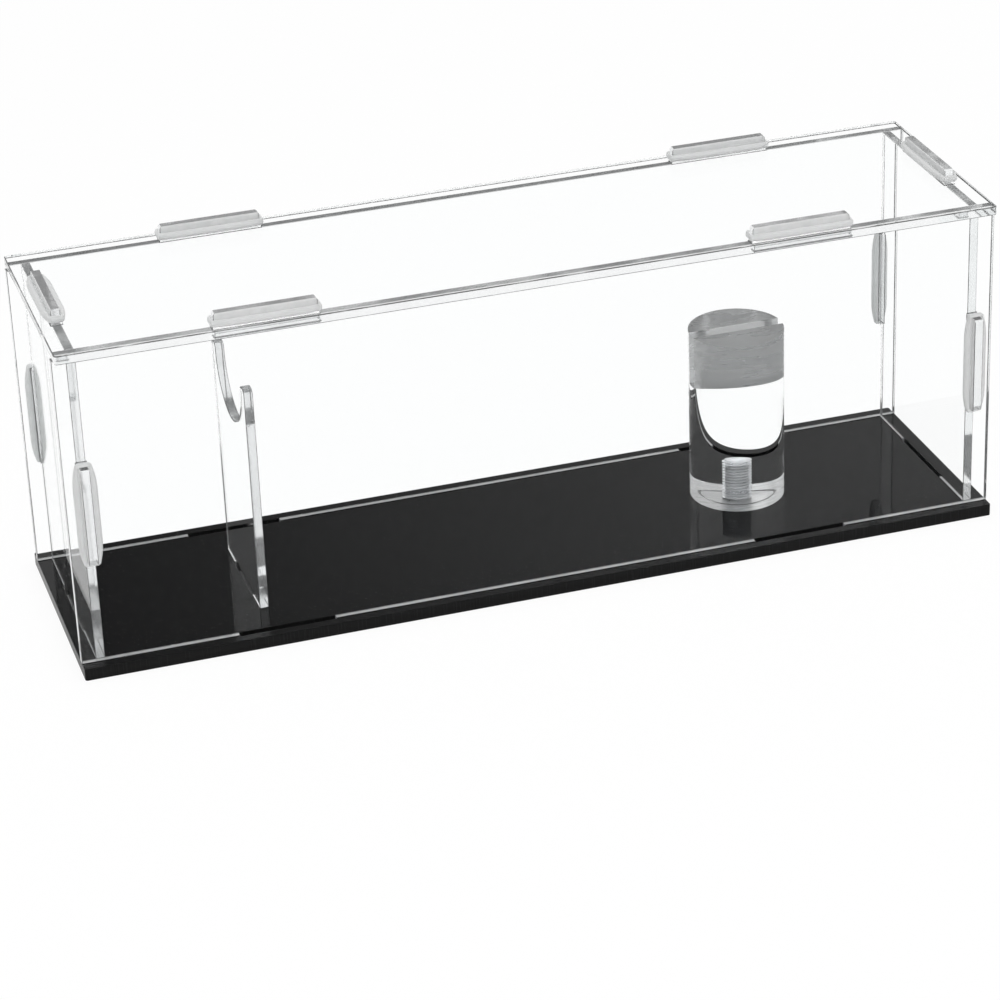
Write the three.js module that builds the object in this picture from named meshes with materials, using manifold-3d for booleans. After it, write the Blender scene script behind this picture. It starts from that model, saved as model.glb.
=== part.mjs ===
// Display case of slotted clear sheets on a black base, held together by silicone rings
// stretched round its tabs. Inside stand a notched handle rest and a slotted blade riser.
// Millimetres. +X runs along the case to the right, +Y to the back and +Z up.
// The origin is under the middle of the base.

import * as THREE from 'three';
import { mergeVertices } from 'three/addons/utils/BufferGeometryUtils.js';
import Module from 'manifold-3d';

const wasm = await Module();
wasm.setup();

// Case
const caseLength = 300;
const caseDepth = 82;
const wallHeight = 101.4;
const baseThickness = 4;
const sheetThickness = 2.9;
const baseCornerRadius = 0.8;
const topCornerRadius = 1;
const topTrim = 0.5;

// How far the panels stand in from the edge of the base
const frontInset = 3.7;
const endInset = 4.65;

// Tabs and the slots that take them
const tabLength = 32;
const tabRise = 4.2;
const tabCornerRadius = 0.9;
const tabOffset = 85;
const footTabLength = 31;
const footTabShortfall = 0.2;
const slotPlay = 0.2;

// Silicone rings, stretched round the tabs
const ringThickness = 2.2;
const ringPlay = 0.1;

// Handle rest
const restOffset = 89;
const restHeight = 75;
const restNotchWidth = 32;
const restProngWidth = 5.3;
const restNotchDepth = 18.3;
const restProngRadius = 2;
const restFootLength = 24;

// Blade riser
const riserOffset = 77;
const riserDiameter = 31;
const riserHeight = 58.6;
const riserSlotWidth = 4.4;
const riserSlotDepth = 18;

// Countersunk screw that holds the riser from below
const screwDiameter = 6;
const screwPitch = 1;
const threadDepth = 0.61;
const screwReach = 13.6;
const screwTipChamfer = 0.8;
const screwHeadDiameter = 11;
const screwHeadRim = 0.3;
const screwHeadRecess = 0.5;
const screwLand = 0.7;
const screwSocketWidth = 4;
const screwSocketDepth = 2;
const screwPlay = 0.3;
const boreExtraDepth = 0.4;
const drillPointAngle = 150;

// Smoothness of the round shapes
const cornerSteps = 2;
const riserSides = 64;
const boreSides = 32;
const screwSides = 20;
const notchSteps = 24;
const ringSides = 8;
const ringSteps = 16;

// Places that follow from the sizes
const panelY = caseDepth / 2 - frontInset - sheetThickness / 2;
const panelInnerY = panelY - sheetThickness / 2;
const panelOuterY = panelY + sheetThickness / 2;
const endX = caseLength / 2 - endInset - sheetThickness / 2;
const topUnderside = baseThickness + wallHeight;
const topSurface = topUnderside + sheetThickness;
const topTabReach = sheetThickness + tabRise;
const footTabReach = baseThickness - footTabShortfall;
const slotWidth = sheetThickness + 2 * slotPlay;
const boreRadius = screwDiameter / 2 + screwPlay;
const screwConeStart = screwHeadRecess + screwHeadRim;
const screwConeEnd = baseThickness - screwLand;

// The thread's profile over one pitch: [place along the pitch, share of the thread's height]
const threadProfile = [[0, 0], [0.25, 0], [0.5625, 1], [0.6875, 1]];

const clearAcrylic = { color: 0xf4f7f8, roughness: 0.04, metalness: 0, transparent: true, opacity: 0.25 };
const blackAcrylic = { color: 0x1d1d1f, roughness: 0.06, metalness: 0 };
const silicone = { color: 0xd9dcdd, roughness: 0.45, metalness: 0 };
const zincSteel = { color: 0xb9bcc0, roughness: 0.28, metalness: 1 };

// Closed geometry as a solid that can be joined and cut
function toSolid(geometry) {
  geometry.deleteAttribute('normal');
  geometry.deleteAttribute('uv');
  const merged = mergeVertices(geometry);
  return new wasm.Manifold(new wasm.Mesh({
    numProp: 3,
    vertProperties: Float32Array.from(merged.attributes.position.array),
    triVerts: Uint32Array.from(merged.index.array),
  }));
}

function toGeometry(solid) {
  const { vertProperties, triVerts } = solid.getMesh();
  const geometry = new THREE.BufferGeometry();
  geometry.setAttribute('position', new THREE.BufferAttribute(vertProperties, 3));
  geometry.setIndex(new THREE.BufferAttribute(triVerts, 1));
  geometry.computeVertexNormals();
  return geometry;
}

function join(first, ...others) {
  return others.reduce((whole, piece) => whole.add(piece), first);
}

function cut(first, ...others) {
  return others.reduce((whole, piece) => whole.subtract(piece), first);
}

function block(width, depth, height, x, y, z) {
  return toSolid(new THREE.BoxGeometry(width, depth, height).translate(x, y, z));
}

// Upright bar on the Z axis, from one height to another
function bar(radius, bottom, top, sides) {
  const geometry = new THREE.CylinderGeometry(radius, radius, top - bottom, sides);
  geometry.rotateX(Math.PI / 2);
  return toSolid(geometry.translate(0, 0, (bottom + top) / 2));
}

// Solid turned round the Z axis from a profile of [radius, height] points, from the lower end up
function turned(profile, sides) {
  const points = profile.map(([radius, height]) => new THREE.Vector2(radius, height));
  const geometry = new THREE.LatheGeometry(points, sides);
  return toSolid(geometry.rotateX(Math.PI / 2));
}

// Sheet with a rounded rectangle as its outline, lying from z = 0 upwards
function roundedSheet(length, depth, thickness, radius) {
  const shape = new THREE.Shape();
  const x = length / 2 - radius;
  const y = depth / 2 - radius;
  shape.absarc(x, y, radius, 0, Math.PI / 2);
  shape.absarc(-x, y, radius, Math.PI / 2, Math.PI);
  shape.absarc(-x, -y, radius, Math.PI, Math.PI * 1.5);
  shape.absarc(x, -y, radius, Math.PI * 1.5, Math.PI * 2);
  const options = { depth: thickness, bevelEnabled: false, curveSegments: cornerSteps };
  return toSolid(new THREE.ExtrudeGeometry(shape, options));
}

// Flat tab that stands from y = 0 up to its reach, with rounded outer corners.
// Its root runs back into the sheet that carries it.
function tab(length, reach, root) {
  const radius = Math.min(tabCornerRadius, length / 2, reach);
  const half = length / 2;
  const shape = new THREE.Shape();
  shape.moveTo(-half, -root);
  shape.lineTo(half, -root);
  shape.absarc(half - radius, reach - radius, radius, 0, Math.PI / 2);
  shape.absarc(radius - half, reach - radius, radius, Math.PI / 2, Math.PI);
  const options = { depth: sheetThickness, bevelEnabled: false, curveSegments: cornerSteps };
  return new THREE.ExtrudeGeometry(shape, options);
}

// Upright sheet drawn in the XY plane: its foot is at y = 0 and its thickness runs along Z
function uprightSheet(width, height) {
  return block(width, height, sheetThickness, 0, height / 2, sheetThickness / 2);
}

function topTab(x) {
  return toSolid(tab(tabLength, topTabReach, sheetThickness).translate(x, wallHeight, 0));
}

function footTab(length, x) {
  return toSolid(tab(length, footTabReach, sheetThickness).rotateZ(Math.PI).translate(x, 0, 0));
}

// Slot through a lying sheet for a tab of the given length
function slotAlongX(length, x, y, thickness) {
  return block(length + 2 * slotPlay, slotWidth, 3 * thickness, x, y, thickness / 2);
}

function slotAlongY(length, x, y, thickness) {
  return block(slotWidth, length + 2 * slotPlay, 3 * thickness, x, y, thickness / 2);
}

// The six slots that the walls' tabs need in the base or in the top panel
function wallSlots(length, thickness) {
  const slots = [];
  for (const end of [-1, 1]) {
    slots.push(slotAlongY(length, end * endX, 0, thickness));
    for (const side of [-1, 1]) {
      slots.push(slotAlongX(length, end * tabOffset, side * panelY, thickness));
    }
  }
  return slots;
}

function basePlate() {
  const sheet = roundedSheet(caseLength, caseDepth, baseThickness, baseCornerRadius);
  const restSlot = slotAlongY(restFootLength, -restOffset, 0, baseThickness);
  const openings = [...wallSlots(footTabLength, baseThickness), restSlot, countersink()];
  return cut(sheet, ...openings);
}

// Hole in the base for the riser's screw, wider than the screw all round
function countersink() {
  const headRadius = screwHeadDiameter / 2 + screwPlay;
  const profile = [
    [0, -baseThickness],
    [headRadius, -baseThickness],
    [headRadius, screwConeStart],
    [boreRadius, screwConeEnd],
    [boreRadius, 2 * baseThickness],
    [0, 2 * baseThickness],
  ];
  return turned(profile, boreSides).translate(riserOffset, 0, 0);
}

function topPanel() {
  const length = caseLength - 2 * topTrim;
  const depth = caseDepth - 2 * topTrim;
  const sheet = roundedSheet(length, depth, sheetThickness, topCornerRadius);
  return cut(sheet, ...wallSlots(tabLength, sheetThickness));
}

// Front or back panel: tabs above and below, and a slot near each end for the end panels' side tabs
function longPanel() {
  const pieces = [uprightSheet(caseLength, wallHeight)];
  const slots = [];
  for (const end of [-1, 1]) {
    pieces.push(topTab(end * tabOffset));
    pieces.push(footTab(footTabLength, end * tabOffset));
    const slotHeight = tabLength + 2 * slotPlay;
    slots.push(block(slotWidth, slotHeight, 3 * sheetThickness, end * endX, wallHeight / 2, 0));
  }
  return cut(join(...pieces), ...slots);
}

// End panel, which stands between the front and back panels and passes a tab through each
function endPanel() {
  const width = 2 * panelInnerY;
  const sideTab = () => tab(tabLength, topTabReach, sheetThickness);
  return join(
    uprightSheet(width, wallHeight),
    topTab(0),
    footTab(footTabLength, 0),
    toSolid(sideTab().rotateZ(-Math.PI / 2).translate(width / 2, wallHeight / 2, 0)),
    toSolid(sideTab().rotateZ(Math.PI / 2).translate(-width / 2, wallHeight / 2, 0)),
  );
}

// Upright plate with a round-bottomed notch between two prongs with rounded tops
function handleRest() {
  const notch = restNotchWidth / 2;
  const half = notch + restProngWidth;
  const radius = Math.min(restProngRadius, restProngWidth / 2);
  const armHeight = restHeight - radius;
  const shape = new THREE.Shape();
  shape.moveTo(-half, 0);
  shape.lineTo(half, 0);
  shape.absarc(half - radius, armHeight, radius, 0, Math.PI / 2);
  shape.absarc(notch + radius, armHeight, radius, Math.PI / 2, Math.PI);
  const notchCentre = restHeight - restNotchDepth + notch;
  for (let step = 0; step <= notchSteps; step += 1) {
    const angle = -Math.PI * step / notchSteps;
    shape.lineTo(notch * Math.cos(angle), notchCentre + notch * Math.sin(angle));
  }
  shape.absarc(-notch - radius, armHeight, radius, 0, Math.PI / 2);
  shape.absarc(radius - half, armHeight, radius, Math.PI / 2, Math.PI);
  const options = { depth: sheetThickness, bevelEnabled: false, curveSegments: cornerSteps };
  const plate = toSolid(new THREE.ExtrudeGeometry(shape, options));
  return join(plate, footTab(restFootLength, 0));
}

// Round riser with a slot across its top and a drilled bore from below
function bladeRiser() {
  const boreDepth = screwReach + boreExtraDepth;
  const halfPoint = THREE.MathUtils.degToRad(drillPointAngle / 2);
  const bore = turned([
    [0, -riserHeight],
    [boreRadius, -riserHeight],
    [boreRadius, boreDepth],
    [0, boreDepth + boreRadius / Math.tan(halfPoint)],
  ], boreSides);
  const slotDepth = 2 * riserSlotDepth;
  const slot = block(2 * riserDiameter, riserSlotWidth, slotDepth, 0, 0, riserHeight);
  return cut(bar(riserDiameter / 2, 0, riserHeight, riserSides), bore, slot);
}

// Place on the thread's helix. Each row follows the helix at one point of the thread's
// profile, so that crests and roots are smooth lines.
function threadPoint(bottom, row, side) {
  const root = screwDiameter / 2 - threadDepth;
  const crest = screwDiameter / 2;
  const [phase, share] = threadProfile[row % threadProfile.length];
  const turn = Math.floor(row / threadProfile.length) + phase + side / screwSides;
  const radius = root + share * (crest - root);
  const angle = 2 * Math.PI * side / screwSides;
  return [radius * Math.cos(angle), radius * Math.sin(angle), bottom + screwPitch * turn];
}

// Right-hand threaded rod, closed at both ends round a point on the axis
function threadedRod(bottom, top) {
  const wrap = threadProfile.length;
  const rows = wrap * Math.ceil((top - bottom) / screwPitch);
  const corners = [];
  const face = (...points) => points.forEach((point) => corners.push(...point));
  const at = (row, side) => threadPoint(bottom, row, side);
  const lowCentre = [0, 0, bottom];
  const highCentre = [0, 0, bottom + screwPitch * (rows / wrap + 1)];
  for (let side = 0; side < screwSides; side += 1) {
    for (let row = 0; row < rows; row += 1) {
      face(at(row, side), at(row, side + 1), at(row + 1, side + 1));
      face(at(row, side), at(row + 1, side + 1), at(row + 1, side));
    }
    face(lowCentre, at(0, side + 1), at(0, side));
    face(highCentre, at(rows, side), at(rows, side + 1));
  }
  for (let row = 0; row < wrap; row += 1) {
    face(lowCentre, at(row, 0), at(row + 1, 0));
    face(highCentre, at(rows + row + 1, 0), at(rows + row, 0));
  }
  const geometry = new THREE.BufferGeometry();
  geometry.setAttribute('position', new THREE.Float32BufferAttribute(corners, 3));
  return toSolid(geometry);
}

// Countersunk screw with a hexagon socket, its head sunk in the base and its thread in the riser
function riserScrew() {
  const radius = screwDiameter / 2;
  const tip = baseThickness + screwReach;
  const head = turned([
    [0, screwHeadRecess],
    [screwHeadDiameter / 2, screwHeadRecess],
    [screwHeadDiameter / 2, screwConeStart],
    [radius, screwConeEnd],
    [radius, baseThickness],
    [0, baseThickness],
  ], boreSides);
  const envelope = turned([
    [0, screwConeEnd],
    [screwDiameter, screwConeEnd],
    [screwDiameter, tip - screwTipChamfer],
    [radius, tip - screwTipChamfer],
    [radius - screwTipChamfer, tip],
    [0, tip],
  ], boreSides);
  const thread = threadedRod(screwConeEnd - 2 * screwPitch, tip + screwPitch).intersect(envelope);
  const socketRadius = screwSocketWidth / 2 / Math.cos(Math.PI / 6);
  const socket = bar(socketRadius, -screwSocketDepth, screwHeadRecess + screwSocketDepth, 6);
  return cut(join(head, thread), socket);
}

// Silicone ring pulled round a tab: a torus whose quarters are moved apart by the tab's size.
// It lies in the XY plane with its long sides along X, and rests on z = 0 with its play.
function stretchedRing() {
  const bend = ringPlay + ringThickness / 2;
  const geometry = new THREE.TorusGeometry(bend, ringThickness / 2, ringSides, ringSteps);
  geometry.rotateZ(Math.PI / ringSteps);
  const position = geometry.attributes.position;
  for (let index = 0; index < position.count; index += 1) {
    const x = position.getX(index);
    const y = position.getY(index);
    position.setX(index, x + Math.sign(x) * tabLength / 2);
    position.setY(index, y + Math.sign(y) * sheetThickness / 2);
  }
  return toSolid(geometry.translate(0, 0, bend));
}

// Named mesh of a solid, with a material of its own
function piece(name, solid, finish) {
  const mesh = new THREE.Mesh(toGeometry(solid), new THREE.MeshStandardMaterial(finish));
  mesh.name = name;
  return mesh;
}

// Stands a sheet drawn in the XY plane up along X, centred on the given depth
function standAlongX(mesh, y) {
  mesh.rotation.x = Math.PI / 2;
  mesh.position.set(0, y + sheetThickness / 2, baseThickness);
  return mesh;
}

// Stands a sheet drawn in the XY plane up along Y, centred on the given length
function standAlongY(mesh, x) {
  mesh.rotation.set(Math.PI / 2, Math.PI / 2, 0);
  mesh.position.set(x - sheetThickness / 2, 0, baseThickness);
  return mesh;
}

function lift(mesh, x, z) {
  mesh.position.set(x, 0, z);
  return mesh;
}

function supports() {
  const group = new THREE.Group();
  group.add(standAlongY(piece('handle_rest', handleRest(), clearAcrylic), -restOffset));
  group.add(lift(piece('blade_riser', bladeRiser(), clearAcrylic), riserOffset, baseThickness));
  group.add(lift(piece('riser_screw', riserScrew(), zincSteel), riserOffset, 0));
  return group;
}

function walls() {
  const group = new THREE.Group();
  group.add(standAlongX(piece('front_panel', longPanel(), clearAcrylic), -panelY));
  group.add(standAlongX(piece('back_panel', longPanel(), clearAcrylic), panelY));
  group.add(standAlongY(piece('left_end_panel', endPanel(), clearAcrylic), -endX));
  group.add(standAlongY(piece('right_end_panel', endPanel(), clearAcrylic), endX));
  return group;
}

// Six rings lie on the top panel, and two on the outside of each long panel
function rings() {
  const group = new THREE.Group();
  const add = (name, position, rotation) => {
    const mesh = piece(name, stretchedRing(), silicone);
    mesh.position.set(...position);
    mesh.rotation.set(...rotation);
    group.add(mesh);
  };
  const quarter = Math.PI / 2;
  for (const [endName, end] of [['left', -1], ['right', 1]]) {
    add(`ring_top_${endName}`, [end * endX, 0, topSurface], [0, 0, quarter]);
    for (const [sideName, side] of [['front', -1], ['back', 1]]) {
      const name = `${sideName}_${endName}`;
      const middle = baseThickness + wallHeight / 2;
      add(`ring_top_${name}`, [end * tabOffset, side * panelY, topSurface], [0, 0, 0]);
      add(`ring_side_${name}`, [end * endX, side * panelOuterY, middle], [-side * quarter, 0, quarter]);
    }
  }
  return group;
}

const displayCase = new THREE.Group();
displayCase.add(piece('base_plate', basePlate(), blackAcrylic));
displayCase.add(supports());
displayCase.add(walls());
displayCase.add(lift(piece('top_panel', topPanel(), clearAcrylic), 0, topUnderside));
displayCase.add(rings());

export default displayCase;
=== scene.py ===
"""A long, clear display case of slotted sheets on a black base.

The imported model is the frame. Finer pieces are built round it with bmesh operators, take
their places and main sizes from the frame, and ride on its bodies. Everything is in
metres: +X runs along the case to the right, +Y to the back and +Z up.
"""

import logging
import math
from collections.abc import Callable, Iterable
from dataclasses import dataclass, replace
from enum import Enum

import bmesh
import bpy
from bmesh.types import BMEdge, BMFace, BMVert
from bpy.types import Material, Node, NodeSocket, NodeTree, Object
from mathutils import Matrix, Vector


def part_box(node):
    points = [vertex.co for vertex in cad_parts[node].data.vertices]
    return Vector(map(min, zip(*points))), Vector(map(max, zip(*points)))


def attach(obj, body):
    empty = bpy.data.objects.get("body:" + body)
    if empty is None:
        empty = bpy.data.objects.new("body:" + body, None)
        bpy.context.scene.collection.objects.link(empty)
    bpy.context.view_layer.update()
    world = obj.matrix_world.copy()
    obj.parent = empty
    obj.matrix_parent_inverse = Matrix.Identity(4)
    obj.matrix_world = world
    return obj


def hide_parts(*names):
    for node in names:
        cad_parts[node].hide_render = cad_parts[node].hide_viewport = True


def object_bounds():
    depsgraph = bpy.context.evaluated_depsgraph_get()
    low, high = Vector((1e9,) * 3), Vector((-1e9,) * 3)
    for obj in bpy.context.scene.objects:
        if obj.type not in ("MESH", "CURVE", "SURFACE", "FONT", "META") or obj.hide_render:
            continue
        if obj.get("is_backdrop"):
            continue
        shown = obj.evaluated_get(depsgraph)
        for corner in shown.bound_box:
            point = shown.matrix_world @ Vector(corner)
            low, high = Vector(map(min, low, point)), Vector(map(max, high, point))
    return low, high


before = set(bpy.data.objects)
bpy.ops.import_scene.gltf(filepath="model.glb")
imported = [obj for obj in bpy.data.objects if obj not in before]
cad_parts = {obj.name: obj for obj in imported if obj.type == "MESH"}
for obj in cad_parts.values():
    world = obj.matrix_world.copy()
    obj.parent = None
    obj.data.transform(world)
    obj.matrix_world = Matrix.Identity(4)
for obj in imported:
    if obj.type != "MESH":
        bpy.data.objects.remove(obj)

log = logging.getLogger("display_case")

MM = 0.001
# Air left between two sheets that touch, so that light finds both surfaces
CONTACT_GAP = 0.03 * MM
SAME_PLACE = 0.002 * MM
NEAR = 10 * SAME_PLACE
# A normal's part along an axis: at most this on a face along it, at least this on one across
UPRIGHT = 0.1
LEVEL = 0.9
SQUARE = 0.95
FLAT = 0.99
TURN_STEPS = 48
QUARTER_TURN = math.pi / 2
UPWARDS = (0, 0, 1)
ACRYLIC_IOR = 1.49
CUT_TINT = (0.96, 0.97, 0.975, 1)
WHITE = (1.0, 1.0, 1.0, 1.0)

Triple = tuple[float, float, float]
Point = tuple[float, float]


class Part(Enum):
    """The parts of a sheet's surface, with their material slots."""

    FLAT = 0
    CUT_EDGE = 1
    RIM = 2
    TAB = 3
    UPPER_EDGE = 4
    LOWER_EDGE = 5


class Axis(Enum):
    """The axis that a sheet's thickness runs along."""

    X = 0
    Y = 1
    Z = 2


class End(Enum):
    """An end of the case, with its direction along X."""

    LEFT = -1
    RIGHT = 1


class Side(Enum):
    """A long side of the case, with its direction along Y."""

    FRONT = -1
    BACK = 1


@dataclass(frozen=True)
class Rect:
    """A rectangle in a sheet's own plane."""

    left: float
    right: float
    low: float
    high: float

    @classmethod
    def about(cls, u: float, v: float, width: float, height: float) -> "Rect":
        """The rectangle of that width and height centred on (u, v)."""
        return cls(u - width / 2, u + width / 2, v - height / 2, v + height / 2)

    def holds(self, point: Vector) -> bool:
        """Whether the point lies in the rectangle."""
        return self.left < point.x < self.right and self.low < point.y < self.high

    def corners(self) -> list[Point]:
        """The four corners."""
        return [(u, v) for u in (self.left, self.right) for v in (self.low, self.high)]


@dataclass(frozen=True)
class Thread:
    """A right-hand screw thread round the Z axis."""

    radius: float = 3 * MM
    pitch: float = 1 * MM
    depth: float = 0.61 * MM
    phase: float = 0.3 * MM


# Shaping


def edges_in(geom: Iterable) -> list[BMEdge]:
    """The edges in a bmesh operator's result."""
    return [item for item in geom if isinstance(item, BMEdge)]


def verts_in(geom: Iterable) -> list[BMVert]:
    """The vertices in a bmesh operator's result."""
    return [item for item in geom if isinstance(item, BMVert)]


def ends_of(edges: Iterable[BMEdge]) -> list[BMVert]:
    """The edges' vertices, each once."""
    return list(dict.fromkeys(vert for edge in edges for vert in edge.verts))


def among(edges: Iterable[BMEdge], verts: Iterable[BMVert]) -> list[BMEdge]:
    """Those of the edges that run between two of the vertices."""
    return [edge for edge in edges if edge.verts[0] in verts and edge.verts[1] in verts]


class Workpiece:
    """A mesh being shaped. Sheets are drawn in its XY plane and thickened along Z."""

    def __init__(self) -> None:
        """Starts with an empty mesh."""
        self.bm = bmesh.new()

    def everything(self) -> list:
        """All vertices, edges and faces."""
        return self.bm.verts[:] + self.bm.edges[:] + self.bm.faces[:]

    def slice(self, geom: list, place: Triple, normal: Triple, **options: float) -> list[BMEdge]:
        """Cuts geometry along a plane, with the operator's own options.

        Args:
            geom: What to cut.
            place: A point of the plane.
            normal: The plane's normal.
            **options: Further settings of the operator.

        Returns:
            The cut's edges.
        """
        cut = bmesh.ops.bisect_plane(
            self.bm, geom=geom, plane_co=place, plane_no=normal, **options
        )
        return edges_in(cut["geom_cut"])

    def raise_faces(self, faces: list[BMFace], height: float) -> None:
        """Extrudes faces straight up."""
        raised = bmesh.ops.extrude_face_region(self.bm, geom=faces)["geom"]
        bmesh.ops.translate(self.bm, vec=(0, 0, height), verts=verts_in(raised))

    def draw_on(self, loop: list[BMEdge], run: Vector) -> list[BMEdge]:
        """Draws a wall on from a loop of edges.

        Args:
            loop: The loop's edges.
            run: How far and which way.

        Returns:
            The edges at the wall's far end.
        """
        grown = bmesh.ops.extrude_edge_only(self.bm, edges=loop)["geom"]
        verts = verts_in(grown)
        bmesh.ops.translate(self.bm, vec=run, verts=verts)
        return among(edges_in(grown), set(verts))

    def line(self, points: Iterable[Point]) -> list:
        """Draws a line in the XZ plane.

        Args:
            points: X and Z of its points.

        Returns:
            Its vertices and edges.
        """
        verts = [bmesh.ops.create_vert(self.bm, co=(x, 0, z))["vert"][0] for x, z in points]
        return verts + [self.bm.edges.new(pair) for pair in zip(verts, verts[1:])]

    def turn(self, profile: Iterable[Point], x: float) -> None:
        """Turns a profile into a round wall.

        Args:
            profile: Radius and height of its points.
            x: Where the upright axis stands along X.
        """
        bmesh.ops.spin(
            self.bm,
            geom=self.line((x + radius, height) for radius, height in profile),
            cent=(x, 0, 0),
            axis=UPWARDS,
            angle=2 * math.pi,
            steps=TURN_STEPS,
            use_merge=True,
        )

    def circle(self, radius: float, height: float) -> list[BMEdge]:
        """Finds the edges of a level circle round the Z axis.

        Args:
            radius: The circle's radius.
            height: Its height.

        Returns:
            Its edges.
        """
        on_it = {
            vert
            for vert in self.bm.verts
            if max(abs(vert.co.z - height), abs(vert.co.xy.length - radius)) < SAME_PLACE
        }
        return among(self.bm.edges, on_it)

    def sheet(
        self, keep: list[Rect], cut: list[Rect], thickness: float, tabs: Iterable[Rect] = ()
    ) -> None:
        """Cuts a sheet out of a blank, slots and tabs included.

        Args:
            keep: Rectangles that make up the sheet's outline.
            cut: Rectangles cut out of it.
            thickness: The sheet's thickness, from z = 0 upwards.
            tabs: Parts of it whose flats keep a finish of their own.
        """
        bm = self.bm
        low = Vector((min(r.left for r in keep), min(r.low for r in keep), 0))
        high = Vector((max(r.right for r in keep), max(r.high for r in keep), 0))
        bmesh.ops.create_grid(bm, x_segments=1, y_segments=1, size=0.5)
        bmesh.ops.scale(bm, vec=(high.x - low.x, high.y - low.y, 1), verts=bm.verts)
        bmesh.ops.translate(bm, vec=(low + high) / 2, verts=bm.verts)
        every = [*keep, *cut, *tabs]
        lines = {(0, value) for r in every for value in (r.left, r.right)}
        lines |= {(1, value) for r in every for value in (r.low, r.high)}
        for axis, value in sorted(lines):
            direction = Vector((axis == 0, axis == 1, 0))
            self.slice(self.everything(), direction * value, direction, dist=SAME_PLACE)
        waste = []
        for face in bm.faces:
            middle = face.calc_center_median()
            kept = any(r.holds(middle) for r in keep)
            if not kept or any(r.holds(middle) for r in cut):
                waste.append(face)
            elif any(r.holds(middle) for r in tabs):
                face.material_index = Part.TAB.value
        bmesh.ops.delete(bm, geom=waste, context="FACES")
        bmesh.ops.dissolve_limit(
            bm, angle_limit=0.01, verts=bm.verts, edges=bm.edges, delimit={"MATERIAL"}
        )
        self.raise_faces(bm.faces[:], thickness)
        bmesh.ops.recalc_face_normals(bm, faces=bm.faces)

    def thread(
        self, thread: Thread, low: float, high: float, clearance: float
    ) -> list[list[BMEdge]]:
        """Spins one tooth of a thread up a helix and trims both ends level.

        Args:
            thread: The thread.
            low: Height of the lower end.
            high: Height of the upper end.
            clearance: How much wider than the thread the surface is made.

        Returns:
            The edges of the lower and of the upper opening.
        """
        pitch = thread.pitch
        start = thread.phase + pitch * (math.floor((low - thread.phase) / pitch) - 1)
        root = thread.radius - thread.depth + clearance
        crest = thread.radius + clearance
        tooth = [(root, 0.0), (root, 0.25), (crest, 0.5625), (crest, 0.6875), (root, 1.0)]
        turns = math.ceil((high - start) / pitch) + 1
        bmesh.ops.spin(
            self.bm,
            geom=self.line((radius, start + share * pitch) for radius, share in tooth),
            cent=(0, 0, 0),
            axis=UPWARDS,
            dvec=(0, 0, pitch / TURN_STEPS),
            angle=2 * math.pi * turns,
            steps=turns * TURN_STEPS,
            use_merge=False,
        )
        bmesh.ops.remove_doubles(self.bm, verts=self.bm.verts, dist=SAME_PLACE)
        options = {"dist": SAME_PLACE / 4, "clear_outer": True}
        return [
            self.slice(self.everything(), (0, 0, height), (0, 0, way), **options)
            for height, way in ((low, -1), (high, 1))
        ]

    def round_corners(self, corners: Iterable[Point], radius: float, segments: int) -> None:
        """Rounds the upright edges that stand at these points of the sheet's plane.

        Args:
            corners: Points of the plane.
            radius: The round's radius.
            segments: Flat faces along the round.
        """
        places = [Vector(corner) for corner in corners]
        edges = []
        for edge in self.bm.edges:
            first, second = (vert.co.xy for vert in edge.verts)
            upright = (first - second).length < SAME_PLACE
            if upright and any((first - place).length < NEAR for place in places):
                edges.append(edge)
        self.bevel(edges, radius, segments)

    def bevel(self, edges: list[BMEdge], width: float, segments: int) -> None:
        """Bevels edges.

        Args:
            edges: The edges.
            width: How far the bevel reaches from each edge.
            segments: Flat faces across the bevel.
        """
        bmesh.ops.bevel(
            self.bm,
            geom=edges,
            offset=width,
            offset_type="OFFSET",
            segments=segments,
            profile=0.5,
            affect="EDGES",
            clamp_overlap=True,
            material=-1,
        )

    def rims(self) -> list[BMEdge]:
        """Finds the edges between a level face and an upright one.

        Returns:
            The edges.
        """
        rims = []
        for edge in self.bm.edges:
            steepness = sorted(abs(face.normal.z) for face in edge.link_faces)
            if len(steepness) == 2 and steepness[0] < UPRIGHT and steepness[1] > LEVEL:
                rims.append(edge)
        return rims

    def paint(self, choose: Callable[[BMFace], Enum]) -> None:
        """Gives each face its material slot.

        Args:
            choose: Names the part that a face belongs to, whose value is the slot.
        """
        self.bm.normal_update()
        for face in self.bm.faces:
            face.material_index = choose(face).value

    def place(self, matrix: Matrix) -> None:
        """Moves the whole mesh."""
        bmesh.ops.transform(self.bm, matrix=matrix, verts=self.bm.verts)

    def close(self) -> None:
        """Merges doubled vertices and turns all faces outwards."""
        bmesh.ops.remove_doubles(self.bm, verts=self.bm.verts, dist=SAME_PLACE)
        bmesh.ops.recalc_face_normals(self.bm, faces=self.bm.faces)

    def to_object(self, name: str, materials: list[Material], sharp: float = 20) -> Object:
        """Makes the finished object, which sits at the origin.

        Args:
            name: The object's name.
            materials: Its material slots, in the order that paint numbers them.
            sharp: Edges that turn further than this many degrees stay sharp.

        Returns:
            The object, linked to the scene.
        """
        mesh = bpy.data.meshes.new(name)
        self.bm.to_mesh(mesh)
        self.bm.free()
        mesh.shade_smooth()
        mesh.set_sharp_from_angle(angle=math.radians(sharp))
        for material in materials:
            mesh.materials.append(material)
        return new_object(name, mesh)


def new_object(name: str, data: bpy.types.ID) -> Object:
    """Makes an object and links it to the scene.

    Args:
        name: Its name.
        data: Its mesh, lamp or camera.

    Returns:
        The object.
    """
    made = bpy.data.objects.new(name, data)
    bpy.context.scene.collection.objects.link(made)
    return made


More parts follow.
